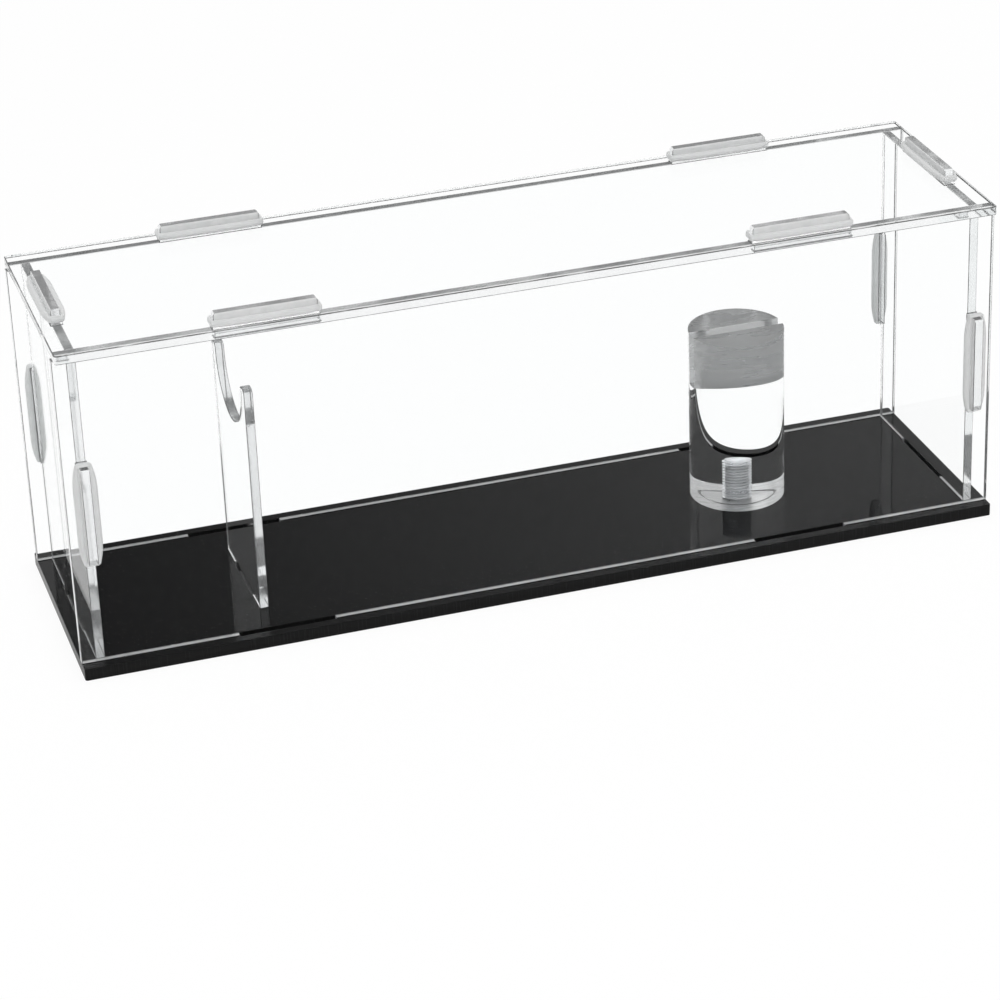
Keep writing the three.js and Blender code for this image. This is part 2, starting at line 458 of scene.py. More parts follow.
def stand(axis: Axis, where: Triple) -> Matrix:
    """Puts a sheet drawn in XY, thickened along Z from 0, into the case.

    Args:
        axis: The axis that its thickness is to run along.
        where: Where the drawing's origin goes.

    Returns:
        The matrix that moves it there.
    """
    turns = {
        Axis.X: Matrix(((0, 0, 1, 0), (1, 0, 0, 0), (0, 1, 0, 0), (0, 0, 0, 1))),
        Axis.Y: Matrix(((1, 0, 0, 0), (0, 0, -1, 0), (0, 1, 0, 0), (0, 0, 0, 1))),
        Axis.Z: Matrix.Identity(4),
    }
    return Matrix.Translation(where) @ turns[axis]


def lying(face: BMFace) -> Part:
    """Tells a sheet's flats, cut edges and bevelled rims apart by how they face.

    Args:
        face: A face of the sheet, still in its drawing's plane.

    Returns:
        The part that it belongs to.
    """
    steepness = abs(face.normal.z)
    if steepness < UPRIGHT:
        return Part.CUT_EDGE
    return Part.FLAT if steepness > FLAT else Part.RIM


def standing(face: BMFace) -> Part:
    """Does so for a wall, whose tabs and level edges have finishes of their own.

    Args:
        face: A face of the sheet, still in its drawing's plane.

    Returns:
        The part that it belongs to.
    """
    part = lying(face)
    if part is Part.CUT_EDGE and face.normal.y > SQUARE:
        return Part.UPPER_EDGE
    if part is Part.CUT_EDGE and face.normal.y < -SQUARE:
        return Part.LOWER_EDGE
    # Upward rims take the pale tab finish: a painted highlight along the top edges
    if part is Part.RIM and face.normal.y > 0.3:
        return Part.TAB
    if part is Part.FLAT and face.material_index == Part.TAB.value:
        return Part.TAB
    return part


def mount_piece(piece: Object, node: str, body: str) -> None:
    """Lets a piece stand for a CAD node and ride on its body.

    Args:
        piece: The finished piece.
        node: The CAD node that it replaces.
        body: The CAD body that it rides on.
    """
    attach(piece, body)
    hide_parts(node)
    log.info("%s: %d faces, rides on %s", piece.name, len(piece.data.polygons), body)


# Finishes


class Nodes:
    """Short calls for one node tree. Sockets come back, ready for the next call."""

    def __init__(self, tree: NodeTree) -> None:
        """Clears the tree, which is a material's or the world's."""
        self.tree = tree
        tree.nodes.clear()

    def add(self, kind: str, inputs: dict | None = None, **settings: str) -> Node:
        """Adds a node.

        Args:
            kind: Its type.
            inputs: Value or output socket for each input, by name or number.
            **settings: Its own settings.

        Returns:
            The node.
        """
        node = self.tree.nodes.new(kind)
        for name, value in settings.items():
            setattr(node, name, value)
        for name, value in (inputs or {}).items():
            if isinstance(value, NodeSocket):
                self.tree.links.new(value, node.inputs[name])
            else:
                node.inputs[name].default_value = value
        return node

    def maths(self, operation: str, *values: NodeSocket | float) -> NodeSocket:
        """The result of an operation on values and sockets."""
        return self.add("ShaderNodeMath", dict(enumerate(values)), operation=operation).outputs[0]

    def mix(self, share: NodeSocket | float, first: NodeSocket, second: NodeSocket) -> NodeSocket:
        """Two shaders mixed by the second one's share."""
        return self.add("ShaderNodeMixShader", {0: share, 1: first, 2: second}).outputs[0]

    def coat(
        self, colour: NodeSocket | tuple, roughness: NodeSocket | float, others: dict
    ) -> NodeSocket:
        """The principled shader with a colour, a roughness and other inputs by name."""
        inputs = {"Base Color": colour, "Roughness": roughness, **others}
        return self.add("ShaderNodeBsdfPrincipled", inputs).outputs[0]

    def glass(
        self, colour: tuple, roughness: NodeSocket, normal: NodeSocket, others: dict | None = None
    ) -> NodeSocket:
        """Clear acrylic with a colour, a roughness, a normal and other inputs by name."""
        clear = {"IOR": ACRYLIC_IOR, "Transmission Weight": 1.0, "Normal": normal}
        return self.coat(colour, roughness, clear | (others or {}))

    def noise(self, stretch: Triple, detail: float) -> NodeSocket:
        """Noise on the object's own coordinates.

        Args:
            stretch: Cells per metre along X, Y and Z.
            detail: Finer layers added.

        Returns:
            The noise's value.
        """
        place = self.add("ShaderNodeTexCoord").outputs["Object"]
        scaled = self.add("ShaderNodeMapping", {"Vector": place, "Scale": stretch}).outputs[0]
        inputs = {"Vector": scaled, "Scale": 1.0, "Detail": detail}
        return self.add("ShaderNodeTexNoise", inputs).outputs[0]

    def spread(self, value: NodeSocket, low: float, high: float) -> NodeSocket:
        """Maps noise's usual span to low..high.

        Args:
            value: A value that stays mostly between 0.3 and 0.7.
            low: Result at 0.3 or less.
            high: Result at 0.7 or more.

        Returns:
            The mapped value.
        """
        inputs = {"Value": value, "From Min": 0.3, "From Max": 0.7, "To Min": low, "To Max": high}
        return self.add("ShaderNodeMapRange", inputs).outputs[0]

    def vary(self, share: NodeSocket, colour: Triple, low: Triple, high: Triple) -> NodeSocket:
        """Varies a colour as noise goes up and down.

        Args:
            share: The noise.
            colour: The colour.
            low: What its channels are multiplied by where the noise is 0.
            high: What they are multiplied by where it is 1.

        Returns:
            The varied colour.
        """
        node = self.add("ShaderNodeMix", {"Factor": share}, data_type="RGBA")
        sockets = [socket for socket in node.inputs if socket.type == "RGBA"]
        for socket, factors in zip(sockets, (low, high)):
            shade = [factor * channel for factor, channel in zip(factors, colour)]
            socket.default_value = (*shade, 1)
        return [socket for socket in node.outputs if socket.type == "RGBA"][0]

    def bump(self, height: NodeSocket, strength: float, depth: float) -> NodeSocket:
        """Turns a height into a bumped normal.

        Args:
            height: The height, from 0 to 1.
            strength: How much of it shows.
            depth: The height's depth in metres.

        Returns:
            The normal.
        """
        inputs = {"Height": height, "Strength": strength, "Distance": depth}
        return self.add("ShaderNodeBump", inputs).outputs[0]

    def let_lamps_through(self, shader: NodeSocket) -> NodeSocket:
        """Makes a glass surface clear to shadow rays, diffuse rays and trapped light.

        Light caught between a sheet's flats leaves it after three turns, as it would far
        off at the sheet's end, instead of being lost.

        Args:
            shader: The glass shader.

        Returns:
            The mixed shader.
        """
        path = self.add("ShaderNodeLightPath").outputs
        lamps = self.maths("MAXIMUM", path["Is Shadow Ray"], path["Is Diffuse Ray"])
        trapped = self.maths("GREATER_THAN", path["Glossy Depth"], 2.5)
        unseen = self.maths("MAXIMUM", lamps, trapped)
        clear = self.add("ShaderNodeBsdfTransparent", {"Color": (0.985, 0.99, 0.99, 1)})
        return self.mix(unseen, shader, clear.outputs[0])

    def shown(self) -> NodeSocket:
        """One where the eye looks, 0 where a surface only gathers light.

        Returns:
            One for camera, glossy and transmission rays.
        """
        path = self.add("ShaderNodeLightPath").outputs
        mirrored = self.maths("MAXIMUM", path["Is Glossy Ray"], path["Is Transmission Ray"])
        return self.maths("MAXIMUM", path["Is Camera Ray"], mirrored)


@dataclass(frozen=True)
class Finish:
    """A named material. Each kind builds its own shader."""

    name: str

    def shader(self, nodes: Nodes) -> NodeSocket:
        """Left to each kind of finish."""
        raise NotImplementedError

    def material(self) -> Material:
        """Makes the material.

        Returns:
            The material, with the finish's shader for its surface.
        """
        material = bpy.data.materials.new(self.name)
        material.use_nodes = True
        nodes = Nodes(material.node_tree)
        nodes.add("ShaderNodeOutputMaterial", {"Surface": self.shader(nodes)})
        return material


@dataclass(frozen=True)
class ClearFace(Finish):
    """The polished flat of clear acrylic."""

    name: str = "clear_acrylic_face"
    tint: tuple = (0.997, 0.999, 0.999, 1)
    reflection: float = 0.1
    haze: float = 0.012
    waviness: float = 0.02

    def shader(self, nodes: Nodes) -> NodeSocket:
        """Builds glass with faint waves, a trace of haze and little glare.

        Args:
            nodes: The material's nodes.

        Returns:
            The shader.
        """
        waves = nodes.noise((22, 22, 22), 1)
        smears = nodes.noise((60, 60, 60), 3)
        haze = nodes.spread(smears, 0, self.haze)
        normal = nodes.bump(waves, self.waviness, 0.3 * MM)
        dimmed = {"Specular Tint": (*3 * (self.reflection,), 1)}
        glass = nodes.glass(self.tint, haze, normal, dimmed)
        bent = nodes.add(
            "ShaderNodeBsdfRefraction",
            {"Color": self.tint, "Roughness": haze, "IOR": ACRYLIC_IOR, "Normal": normal},
        )
        glare = nodes.add("ShaderNodeFresnel", {"IOR": ACRYLIC_IOR, "Normal": normal})
        return nodes.let_lamps_through(nodes.mix(glare.outputs[0], bent.outputs[0], glass))


@dataclass(frozen=True)
class CutEdge(Finish):
    """The laser-cut edge of clear acrylic, with fine lines across the sheet. Darker settings of
    it paint shade on rims and upper edges.
    """

    across: Axis
    frost: float = 0.22
    grey: float = 0.62
    roughness: float = 0.16
    relief: float = 0.35

    def shader(self, nodes: Nodes) -> NodeSocket:
        """Builds glass crossed by the beam's lines, with a part of it frosted.

        Args:
            nodes: The material's nodes.

        Returns:
            The shader.
        """
        lines = [1400.0, 1400.0, 1400.0]
        lines[self.across.value] = 30.0
        striations = nodes.noise(tuple(lines), 2)
        patches = nodes.noise((90, 90, 90), 3)
        normal = nodes.bump(striations, self.relief, 0.02 * MM)
        roughness = nodes.spread(patches, 0.5 * self.roughness, self.roughness)
        glass = nodes.glass(CUT_TINT, roughness, normal)
        grey = nodes.vary(striations, 3 * (self.grey,), (0.86, 0.87, 0.88), (1.06, 1.07, 1.08))
        frosted = nodes.coat(grey, 0.45, {"Normal": normal})
        share = nodes.spread(patches, 0.7 * self.frost, 1.3 * self.frost)
        return nodes.let_lamps_through(nodes.mix(share, glass, frosted))


@dataclass(frozen=True)
class TabFace(Finish):
    """The flats of a tab, with pale grey painted on their outside as a stand-in for the silicone
    ring seen through the tab.
    """

    name: str = "tab_face_painted_ring_image"
    grey: float = 0.6
    painted_ring_image: float = 0.7

    def shader(self, nodes: Nodes) -> NodeSocket:
        """Builds slightly streaky glass under a pale painted grey, a stand-in for the ring seen
        through the tab.

        Args:
            nodes: The material's nodes.

        Returns:
            The shader.
        """
        streaks = nodes.noise((120, 120, 900), 3)
        patches = nodes.noise((220, 220, 220), 4)
        roughness = nodes.spread(patches, 0.06, 0.16)
        glass = nodes.glass(CUT_TINT, roughness, nodes.bump(streaks, 0.1, 0.01 * MM))
        # Pale grey painted on the tab's outside, standing in for the ring behind it seen through
        # the tab
        pale = nodes.vary(patches, 3 * (self.grey,), 3 * (0.95,), 3 * (1.06,))
        painted_ring_image = nodes.coat(pale, 0.4, {})
        behind = nodes.add("ShaderNodeNewGeometry").outputs["Backfacing"]
        outside = nodes.maths("SUBTRACT", 1.0, behind)
        cover = nodes.spread(patches, 0.9 * self.painted_ring_image, 1.1 * self.painted_ring_image)
        share = nodes.maths("MULTIPLY", cover, outside)
        return nodes.let_lamps_through(nodes.mix(share, glass, painted_ring_image))


@dataclass(frozen=True)
class MilledFace(Finish):
    """Acrylic as a cutter leaves it: greyish, frosted and crossed by tool marks."""

    name: str = "milled_acrylic"
    grey: float = 0.21
    frost: float = 0.64
    roughness: float = 0.38
    marks: Triple = (40, 2600, 300)

    def shader(self, nodes: Nodes) -> NodeSocket:
        """Builds rough glass mixed with grey frost, both bumped by the tool marks.

        Args:
            nodes: The material's nodes.

        Returns:
            The shader.
        """
        marks = nodes.noise(self.marks, 3)
        patches = nodes.noise((60, 200, 420), 3)
        normal = nodes.bump(marks, 0.2, 0.006 * MM)
        roughness = nodes.spread(patches, 0.5 * self.roughness, self.roughness)
        glass = nodes.glass((0.9, 0.91, 0.92, 1), roughness, normal)
        grey = nodes.vary(patches, 3 * (self.grey,), (0.65, 0.66, 0.67), (1.5, 1.51, 1.52))
        frosted = nodes.coat(grey, 0.5, {"Normal": normal})
        share = nodes.spread(patches, 0.9 * self.frost, 1.1 * self.frost)
        return nodes.let_lamps_through(nodes.mix(share, glass, frosted))


@dataclass(frozen=True)
class BlackFace(Finish):
    """The polished flat of black acrylic."""

    name: str = "black_acrylic_face"
    colour: float = 0.0045
    shine: float = 0.115

    def shader(self, nodes: Nodes) -> NodeSocket:
        """Builds a gloss black with fine wiping marks in its roughness.

        Args:
            nodes: The material's nodes.

        Returns:
            The shader.
        """
        wiping = nodes.noise((40, 260, 260), 4)
        cloud = nodes.noise((14, 14, 14), 2)
        colour = nodes.vary(cloud, 3 * (self.colour,), (1, 1, 1), (1.5, 1.5, 1.6))
        roughness = nodes.spread(wiping, 0.0, 0.03)
        normal = nodes.bump(cloud, 0.02, 0.1 * MM)
        gloss = {"IOR": ACRYLIC_IOR, "Specular IOR Level": self.shine, "Normal": normal}
        return nodes.coat(colour, roughness, gloss)


@dataclass(frozen=True)
class BlackEdge(Finish):
    """The cut edge of black acrylic."""

    name: str = "black_acrylic_edge"
    colour: float = 0.006
    shine: float = 0.08

    def shader(self, nodes: Nodes) -> NodeSocket:
        """Builds a satin black with the beam's upright lines.

        Args:
            nodes: The material's nodes.

        Returns:
            The shader.
        """
        lines = nodes.noise((2600, 2600, 60), 2)
        bands = nodes.noise((6, 6, 700), 2)
        colour = nodes.vary(bands, 3 * (self.colour,), 3 * (0.6,), 3 * (1.8,))
        roughness = nodes.spread(lines, 0.2, 0.3)
        normal = nodes.bump(lines, 0.06, 0.006 * MM)
        satin = {"IOR": ACRYLIC_IOR, "Specular IOR Level": self.shine, "Normal": normal}
        return nodes.coat(colour, roughness, satin)


@dataclass(frozen=True)
class Silicone(Finish):
    """Milky, translucent silicone rubber."""

    name: str = "milky_silicone"
    colour: Triple = (0.65, 0.655, 0.655)
    ior: float = 1.41
    depth: float = 0.25

    def shader(self, nodes: Nodes) -> NodeSocket:
        """Builds a satin rubber that light passes through softly.

        Args:
            nodes: The material's nodes.

        Returns:
            The shader.
        """
        cloud = nodes.noise((350, 350, 350), 3)
        skin = nodes.noise((2600, 2600, 2600), 2)
        colour = nodes.vary(cloud, self.colour, 3 * (0.93,), 3 * (1.05,))
        roughness = nodes.spread(cloud, 0.3, 0.42)
        normal = nodes.bump(skin, 0.12, 0.02 * MM)
        milky = {"IOR": self.ior, "Transmission Weight": self.depth, "Normal": normal}
        return nodes.let_lamps_through(nodes.coat(colour, roughness, milky))


@dataclass(frozen=True)
class ZincSteel(Finish):
    """Bright zinc plating over a rolled thread."""

    name: str = "bright_zinc"
    colour: Triple = (0.74, 0.75, 0.77)

    def shader(self, nodes: Nodes) -> NodeSocket:
        """Builds a bright metal with rolling lines and cloudy plating.

        Args:
            nodes: The material's nodes.

        Returns:
            The shader.
        """
        rolled = nodes.noise((300, 300, 5200), 3)
        cloud = nodes.noise((500, 500, 500), 3)
        colour = nodes.vary(cloud, self.colour, 3 * (0.8,), (1, 1, 1))
        roughness = nodes.spread(cloud, 0.16, 0.34)
        normal = nodes.bump(rolled, 0.25, 0.01 * MM)
        return nodes.coat(colour, roughness, {"Metallic": 1.0, "Normal": normal})


@dataclass(frozen=True)
class PaleFloor(Finish):
    """A white floor that keeps the case's shadow."""

    name: str = "pale_floor"
    glow: float = 0.9

    def shader(self, nodes: Nodes) -> NodeSocket:
        """Builds a matt white that glows where the eye sees it.

        Args:
            nodes: The material's nodes.

        Returns:
            The shader.
        """
        paint = nodes.add("ShaderNodeBsdfDiffuse", {"Color": (0.92, 0.92, 0.92, 1)}).outputs[0]
        white = nodes.add("ShaderNodeEmission", {"Color": WHITE, "Strength": 1.0}).outputs[0]
        lifted = nodes.mix(self.glow, paint, white)
        return nodes.mix(nodes.shown(), paint, lifted)


class Finishes:
    """All the case's materials, made once."""

    def __init__(self) -> None:
        """Builds every material, those of the sheets' edges for each axis of thickness."""
        self.clear = ClearFace().material()
        self.edge = {
            Axis.X: CutEdge("cut_edge_across_x", Axis.X).material(),
            Axis.Y: CutEdge("cut_edge_across_y", Axis.Y).material(),
            Axis.Z: CutEdge("cut_edge_across_z", Axis.Z, 0.15, relief=0.04).material(),
        }
        # Near-black frost on the rims is painted shade: it draws the dark outline that light bent
        # at glass edges gives them
        self.rim = CutEdge("bevelled_rim_painted_outline", Axis.Z, 0.95, 0.1, relief=0.03).material()
        # The upper edges' dark grey frost is painted shade, standing in for the black base seen
        # down through the sheet; the lower edges get a darker grey frost too
        self.upper = {
            Axis.X: CutEdge("upper_edge_painted_shade_across_x", Axis.X, 0.8, 0.15).material(),
            Axis.Y: CutEdge("upper_edge_painted_shade_across_y", Axis.Y, 0.8, 0.15).material(),
        }
        self.lower = {
            Axis.X: CutEdge("lower_edge_across_x", Axis.X, 0.8, 0.26).material(),
            Axis.Y: CutEdge("lower_edge_across_y", Axis.Y, 0.8, 0.26).material(),
        }
        self.tab = TabFace().material()
        self.milled = MilledFace().material()
        self.faced = MilledFace("faced_acrylic", 0.17, 0.7, marks=(500, 500, 60)).material()
        self.tapped = MilledFace("tapped_acrylic", 0.8, 0.3, 0.1, (300, 300, 300)).material()
        # The groove is painted near-black frost: painted shade in the recess, drawing the dark
        # ring round the screw
        self.groove = MilledFace("turned_groove_painted_shade", 0.03, 0.9).material()
        self.black = BlackFace().material()
        self.black_edge = BlackEdge().material()
        self.silicone = Silicone().material()
        self.zinc = ZincSteel().material()

    def sheet(self, axis: Axis) -> list[Material]:
        """The slots of a clear sheet whose thickness runs along the axis."""
        return [self.clear, self.edge[axis], self.rim]

    def wall(self, axis: Axis) -> list[Material]:
        """The slots of a wall whose thickness runs along the axis."""
        return [*self.sheet(axis), self.tab, self.upper[axis], self.lower[axis]]


# The case


@dataclass(frozen=True)
class CaseSizes:
    """Main places and sizes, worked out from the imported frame."""

    length: float
    base_top: float
    top_underside: float
    top_surface: float
    sheet: float
    panel_y: float
    panel_inner_y: float
    end_x: float
    tab_rise: float
    tab_length: float = 32 * MM
    tab_round: float = 0.9 * MM
    tab_offset: float = 85 * MM
    foot_tab_length: float = 31 * MM
    foot_play: float = 0.2 * MM
    slot_play: float = 0.2 * MM
    rim: float = 0.18 * MM

    @classmethod
    def from_frame(cls) -> "CaseSizes":
        """Reads the sizes off the nodes' boxes.

        Returns:
            The sizes.
        """
        base_low, base_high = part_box("base_plate")
        top_low, top_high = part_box("top_panel")
        front_low, front_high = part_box("front_panel")
        end_low, end_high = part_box("right_end_panel")
        front_middle = (front_low.y + front_high.y) / 2
        thickness = front_high.y - front_low.y
        return cls(
            length=base_high.x - base_low.x,
            base_top=base_high.z,
            top_underside=top_low.z,
            top_surface=top_high.z,
            sheet=thickness,
            panel_y=-front_middle,
            panel_inner_y=-front_middle - thickness / 2,
            end_x=(end_low.x + end_high.x) / 2,
            tab_rise=front_high.z - top_high.z,
        )

    @property
    def wall_height(self) -> float:
        """From the base's top to the top panel's underside."""
        return self.top_underside - self.base_top

    @property
    def slot_width(self) -> float:
        """Width of a slot that takes one sheet."""
        return self.sheet + 2 * self.slot_play

    @property
    def tab_reach(self) -> float:
        """How far a tab stands out of its sheet's edge."""
        return self.sheet + self.tab_rise

    @property
    def foot_tab_reach(self) -> float:
        """How deep a foot tab goes into the base."""
        return self.base_top - self.foot_play

    def wall_slots(self, length: float) -> list[Rect]:
        """The six slots for the walls' tabs, in a lying sheet.

        Args:
            length: The tabs' length.

        Returns:
            The slots, in the sheet's XY plane.
        """
        long = length + 2 * self.slot_play
        slots = []
        for end in End:
            slots.append(Rect.about(end.value * self.end_x, 0, self.slot_width, long))
            for side in Side:
                where = (end.value * self.tab_offset, side.value * self.panel_y)
                slots.append(Rect.about(*where, long, self.slot_width))
        return slots


@dataclass(frozen=True)
class BasePlate:
    """The black base with its slots and the screw's countersunk hole."""

    sizes: CaseSizes
    finishes: Finishes
    corner: float = 0.8 * MM
    rim: float = 0.2 * MM
    rest_offset: float = 89 * MM
    rest_foot_length: float = 24 * MM
    hole_radius: float = 5.8 * MM
    bore_radius: float = 3.3 * MM
    cone_start: float = 0.8 * MM
    cone_end: float = 3.3 * MM
    # Half the square that is cut out round the hole, and the room round it, as shares
    patch: float = 1.5
    patch_room: float = 1.1

    def build(self, riser_x: float) -> Object:
        """Builds the plate.

        Args:
            riser_x: Where the screw stands along X.

        Returns:
            The finished base.
        """
        low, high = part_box("base_plate")
        outline = Rect(low.x, high.x, low.y, high.y)
        rest_length = self.rest_foot_length + 2 * self.sizes.slot_play
        slots = self.sizes.wall_slots(self.sizes.foot_tab_length)
        slots.append(Rect.about(-self.rest_offset, 0, self.sizes.slot_width, rest_length))
        reach = self.patch * self.hole_radius
        square = Rect.about(riser_x, 0, 2 * reach, 2 * reach)
        work = Workpiece()
        work.sheet([outline], [*slots, square], high.z - low.z)
        self.fill_patch(work, riser_x, reach, high.z - low.z)
        work.round_corners(outline.corners(), self.corner, segments=6)
        work.bevel(work.rims(), self.rim, segments=2)
        work.paint(lying)
        edge = self.finishes.black_edge
        return work.to_object("base", [self.finishes.black, edge, edge])

    def fill_patch(self, work: Workpiece, x: float, reach: float, top: float) -> None:
        """Fills the square left round the screw with a countersunk hole's walls.

        Args:
            work: The plate, with a square hole.
            x: The screw's place along X.
            reach: Half the square's side.
            top: The plate's thickness.
        """
        bm = work.bm
        room = 2 * self.patch_room * reach
        inside = Rect.about(x, 0, room, room)
        walls = [
            face
            for face in bm.faces
            if abs(face.normal.z) < UPRIGHT and inside.holds(face.calc_center_median())
        ]
        bmesh.ops.delete(bm, geom=walls, context="FACES_ONLY")
        profile = [
            (self.hole_radius, 0.0),
            (self.hole_radius, self.cone_start),
            (self.bore_radius, self.cone_end),
            (self.bore_radius, top),
        ]
        work.turn(profile, x)
        for height in (0.0, top):
            loops = [
                edge
                for edge in bm.edges
                if len(edge.link_faces) == 1
                and all(abs(vert.co.z - height) < SAME_PLACE for vert in edge.verts)
                and inside.holds((edge.verts[0].co + edge.verts[1].co) / 2)
            ]
            bmesh.ops.bridge_loops(bm, edges=loops)
        work.close()


@dataclass(frozen=True)
class Wall:
    """One of the four walls, with tabs at its top and its foot."""

    sizes: CaseSizes
    finishes: Finishes

    def upright_tabs(self, middle: float) -> list[Rect]:
        """The top tab and the foot tab centred on one place along the wall.

        Args:
            middle: The place.

        Returns:
            The two rectangles, which meet at half the wall's height.
        """
        sizes = self.sizes
        height = sizes.wall_height
        half = sizes.tab_length / 2
        foot = sizes.foot_tab_length / 2
        return [
            Rect(middle - half, middle + half, height / 2, height + sizes.tab_reach),
            Rect(middle - foot, middle + foot, -sizes.foot_tab_reach, height / 2),
        ]

    def cut_wall(
        self, half_width: float, middles: list[float], cut: list[Rect], crossbar: list[Rect]
    ) -> Workpiece:
        """Cuts the wall's sheet and finishes its edges.

        Args:
            half_width: Half its width without the side tabs.
            middles: Where pairs of top and foot tabs stand along it.
            cut: Its slots.
            crossbar: A rectangle that reaches out at both sides as tabs, if it has them.

        Returns:
            The sheet, still in its drawing's plane.
        """
        sizes = self.sizes
        height = sizes.wall_height
        uprights = [tab for middle in middles for tab in self.upright_tabs(middle)]
        body = Rect(-half_width, half_width, CONTACT_GAP, height - CONTACT_GAP)
        shoulder = height + sizes.sheet / 2
        flank = sizes.panel_inner_y + sizes.sheet / 2
        tabs = [Rect(r.left, r.right, shoulder, r.high) for r in uprights if r.high > shoulder]
        rounded = [place for r in uprights for place in r.corners() if place[1] != height / 2]
        for r in crossbar:
            tabs += [Rect(r.left, -flank, r.low, r.high), Rect(flank, r.right, r.low, r.high)]
            rounded += r.corners()
        work = Workpiece()
        work.sheet([body, *uprights, *crossbar], cut, sizes.sheet, tabs)
        work.round_corners(rounded, sizes.tab_round, segments=4)
        work.bevel(work.rims(), sizes.rim, segments=2)
        work.paint(standing)
        return work


@dataclass(frozen=True)
class LongPanel(Wall):
    """The front or back panel, with two slots for the end panels' side tabs."""

    side: Side

    def build(self) -> Object:
        """Builds the panel.

        Returns:
            The finished panel.
        """
        sizes = self.sizes
        long = sizes.tab_length + 2 * sizes.slot_play
        middle = sizes.wall_height / 2
        cut = [
            Rect.about(end.value * sizes.end_x, middle, sizes.slot_width, long) for end in End
        ]
        middles = [end.value * sizes.tab_offset for end in End]
        work = self.cut_wall(sizes.length / 2, middles, cut, [])
        y = self.side.value * sizes.panel_y + sizes.sheet / 2
        work.place(stand(Axis.Y, (0, y, sizes.base_top)))
        return work.to_object(f"{self.side.name.lower()}_wall", self.finishes.wall(Axis.Y))


@dataclass(frozen=True)
class EndPanel(Wall):
    """The left or right end panel, whose side tabs pass through the long panels."""

    end: End

    def build(self) -> Object:
        """Builds the panel.

        Returns:
            The finished panel.
        """
        sizes = self.sizes
        middle = sizes.wall_height / 2
        half = sizes.tab_length / 2
        reach = sizes.panel_inner_y + sizes.tab_reach
        crossbar = Rect(-reach, reach, middle - half, middle + half)
        work = self.cut_wall(sizes.panel_inner_y - CONTACT_GAP, [0], [], [crossbar])
        x = self.end.value * sizes.end_x - sizes.sheet / 2
        work.place(stand(Axis.X, (x, 0, sizes.base_top)))
        return work.to_object(f"{self.end.name.lower()}_wall", self.finishes.wall(Axis.X))


@dataclass(frozen=True)
class TopPanel:
    """The lid, which the walls' top tabs pass through."""

    sizes: CaseSizes
    finishes: Finishes
    corner: float = 1 * MM
    rim: float = 0.3 * MM

    def build(self) -> Object:
        """Builds the lid with its six slots.

        Returns:
            The finished lid.
        """
        low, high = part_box("top_panel")
        outline = Rect(low.x, high.x, low.y, high.y)
        work = Workpiece()
        work.sheet([outline], self.sizes.wall_slots(self.sizes.tab_length), high.z - low.z)
        work.round_corners(outline.corners(), self.corner, segments=5)
        work.bevel(work.rims(), self.rim, segments=2)
        work.paint(lying)
        work.place(stand(Axis.Z, (0, 0, low.z)))
        return work.to_object("lid", self.finishes.sheet(Axis.Z))


@dataclass(frozen=True)
class HandleRest:
    """The upright plate with a round-bottomed notch between two prongs."""

    sizes: CaseSizes
    finishes: Finishes
    notch_width: float = 32 * MM
    notch_depth: float = 18.3 * MM
    # Of half the notch's width, so that its two rounds don't quite meet
    notch_round: float = 0.9995
    prong_round: float = 2 * MM
    foot_length: float = 24 * MM

    def build(self) -> Object:
        """Builds the plate with its notch and foot tab.

        Returns:
            The finished plate.
        """
        low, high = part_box("handle_rest")
        sizes = self.sizes
        half = high.y
        height = high.z - sizes.base_top
        notch = self.notch_width / 2
        foot = self.foot_length / 2
        bottom = height - self.notch_depth
        keep = [
            Rect(-half, half, CONTACT_GAP, height),
            Rect(-foot, foot, -sizes.foot_tab_reach, 2 * CONTACT_GAP),
        ]
        work = Workpiece()
        work.sheet(keep, [Rect(-notch, notch, bottom, 2 * height)], high.x - low.x)
        notch_corners = [(-notch, bottom), (notch, bottom)]
        work.round_corners(notch_corners, self.notch_round * notch, segments=24)
        prongs = [(way * edge, height) for way in (-1, 1) for edge in (notch, half)]
        work.round_corners(prongs, self.prong_round, segments=5)
        feet = [(way * foot, -sizes.foot_tab_reach) for way in (-1, 1)]
        work.round_corners(feet, sizes.tab_round, segments=5)
        work.bevel(work.rims(), sizes.rim, segments=2)
        work.paint(lying)
        work.place(stand(Axis.X, (low.x, 0, sizes.base_top)))
        return work.to_object("notched_rest", self.finishes.sheet(Axis.X))


class RiserFace(Enum):
    """The finishes of the riser's faces, with their material slots."""

    POLISHED = 0
    MILLED = 1
    FACED = 2
    TAPPED = 3
    GROOVE = 4


